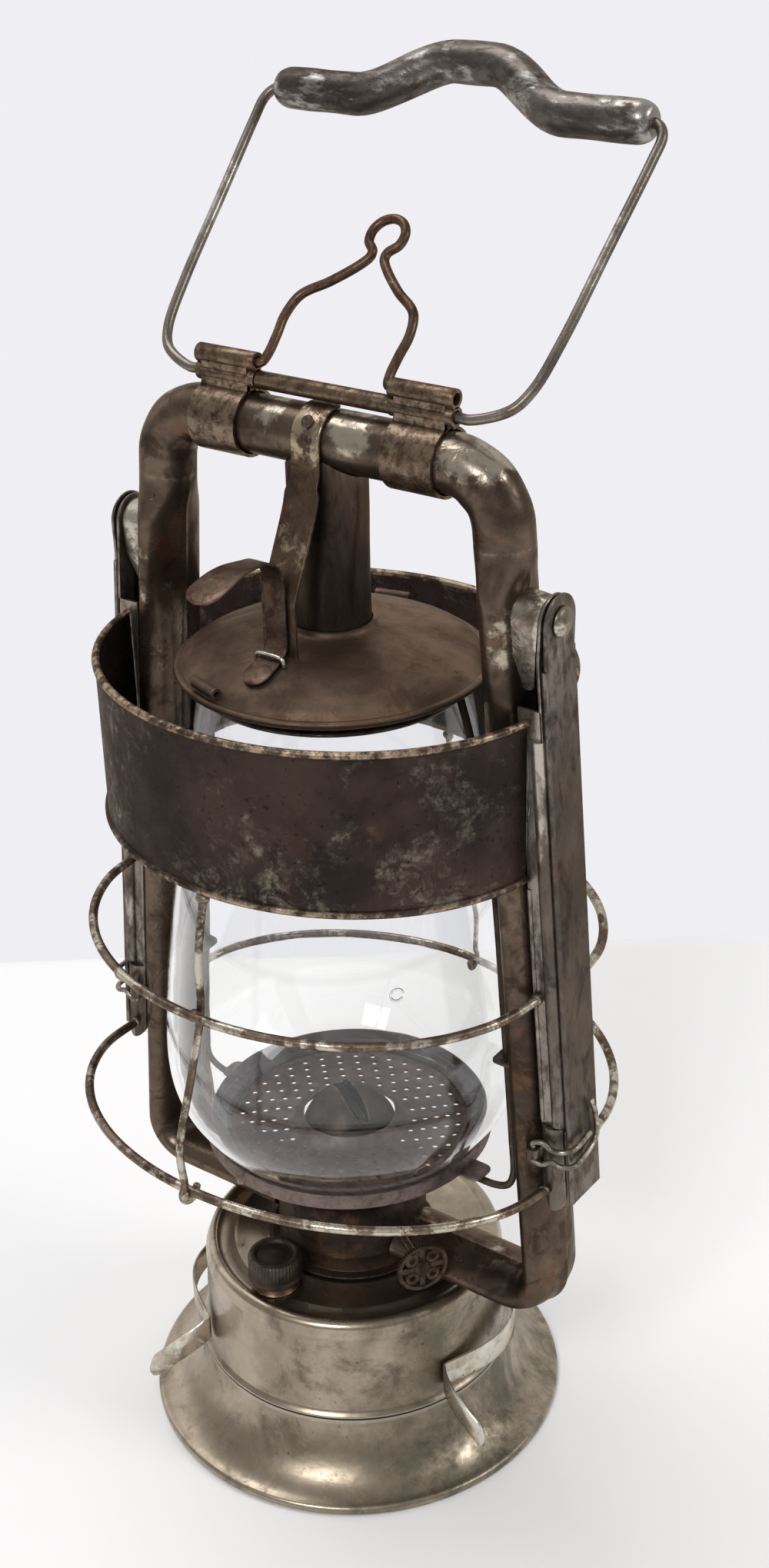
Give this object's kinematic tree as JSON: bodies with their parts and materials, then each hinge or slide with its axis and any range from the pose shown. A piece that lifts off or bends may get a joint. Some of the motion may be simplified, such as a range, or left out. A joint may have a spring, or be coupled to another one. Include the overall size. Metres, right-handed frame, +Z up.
{
  "type": "fire department lantern",
  "caption": "Tubular oil lantern with caged glass globe, swing-open front guard, spring strap, bell base, carrying bail and small hanging bail.",
  "frame": {"origin": "centre of the bell base's resting rim", "axes": "+Z up, -Y towards the side that the front guard opens to and the filler cap stands on, +X towards the wick wheel's side"},
  "size_m": [0.1786, 0.1628, 0.4232],
  "materials": {
    "nickel_plate": "worn nickel plate, warm grey, soft sheen",
    "aged_tin": "aged tinned steel, patchy brown-grey and silver",
    "brown_tin": "tinned steel darkened to brown",
    "dark_tin": "sooty dark tinned steel",
    "bright_tin": "bright worn spring steel and solder",
    "clear_glass": "clear pressed glass",
    "wick_cotton": "flat woven cotton",
    "cork": "cork disc"
  },
  "bodies": {
    "frame": {"bell_skirt": "nickel_plate", "fount_shell": "nickel_plate", "fount_bottom": "aged_tin", "spring_clip": "bright_tin", "filler_neck": "bright_tin", "burner_floor": "dark_tin", "air_chamber": "brown_tin", "burner_cone": "dark_tin", "wick_tube": "dark_tin", "top_tube": "aged_tin", "side_tube_right": "aged_tin", "side_tube_left": "aged_tin", "centre_tube": "brown_tin", "spring_strap": "aged_tin", "strap_rivet": "aged_tin", "guide_bracket_right": "dark_tin", "guide_bracket_left": "dark_tin", "ear_bracket_right": "aged_tin", "ear_bracket_left": "aged_tin", "pivot_rivet_right": "bright_tin", "pivot_rivet_left": "bright_tin", "side_rail_right": "aged_tin", "side_rail_left": "aged_tin", "rear_band": "brown_tin", "rear_hoop_upper": "aged_tin", "rear_hoop_lower": "aged_tin", "rear_guard_wire": "aged_tin", "bail_bracket_right": "aged_tin", "bail_bracket_left": "aged_tin"},
    "front_guard": {"front_strip_right": "aged_tin", "front_strip_left": "aged_tin", "front_band": "brown_tin", "front_hoop_upper": "aged_tin", "front_hoop_lower": "aged_tin", "front_guard_wire": "aged_tin"},
    "clasp_r": {"clasp_right": "bright_tin"},
    "clasp_l": {"clasp_left": "bright_tin"},
    "globe_carrier": {"canopy": "brown_tin", "globe_top_ring": "dark_tin", "thumb_lever": "brown_tin", "lever_staple": "bright_tin", "globe": "clear_glass", "globe_plate": "dark_tin", "lift_wire_right": "dark_tin", "lift_wire_left": "dark_tin"},
    "bail": {"bail_wire": "aged_tin", "bail_grip": "aged_tin", "axle_tube": "aged_tin"},
    "hanger": {"hanger_bail": "aged_tin"},
    "cap_thread": {"cap_gasket": "cork"},
    "cap": {"filler_cap": "dark_tin"},
    "wick_drive": {"wick_shaft": "aged_tin", "wick_wheel": "dark_tin"},
    "wick_strip": {"wick": "wick_cotton"}
  },
  "joints": [
    {"name": "guard_swing", "type": "hinge", "parent": "frame", "child": "front_guard", "pos_m": [0, 0, 0.293], "axis": [-1, 0, 0], "range_deg": [0, 100]},
    {"name": "clasp_right_turn", "type": "hinge", "parent": "front_guard", "child": "clasp_r", "pos_m": [0.07678, -0.01285, 0.131], "axis": [0, 0, -1], "range_deg": [0, 100]},
    {"name": "clasp_left_turn", "type": "hinge", "parent": "front_guard", "child": "clasp_l", "pos_m": [-0.07678, -0.01285, 0.131], "axis": [0, 0, 1], "range_deg": [0, 100]},
    {"name": "globe_lift", "type": "slide", "parent": "frame", "child": "globe_carrier", "axis": [0, 0, 1], "range_m": [0, 0.012]},
    {"name": "bail_swing", "type": "hinge", "parent": "frame", "child": "bail", "pos_m": [0, 0, 0.3426], "axis": [1, 0, 0], "range_deg": [-90, 125]},
    {"name": "hanger_swing", "type": "hinge", "parent": "frame", "child": "hanger", "pos_m": [0, 0, 0.3474], "axis": [1, 0, 0], "range_deg": [-50, 160]},
    {"name": "cap_lift", "type": "slide", "parent": "frame", "child": "cap_thread", "axis": [0, 0, 1], "range_m": [0, 0.0037]},
    {"name": "cap_turn", "type": "hinge", "parent": "cap_thread", "child": "cap", "pos_m": [-0.00439, -0.03573, 0.067], "axis": [0, 0, 1], "range_deg": [0, 1080]},
    {"name": "wick_wheel_turn", "type": "hinge", "parent": "frame", "child": "wick_drive", "pos_m": [0.00302, 0.00483, 0.0753], "axis": [-0.848, 0.5299, 0], "range_deg": [-60, 120]},
    {"name": "wick_raise", "type": "slide", "parent": "frame", "child": "wick_strip", "axis": [0, 0, 1], "range_m": [-0.005, 0.0095]}
  ],
  "couplings": [
    {"joint": "cap_lift", "follows": "cap_turn", "m_per_rad": 0.00019099},
    {"joint": "wick_raise", "follows": "wick_wheel_turn", "m_per_rad": 0.0044}
  ]
}
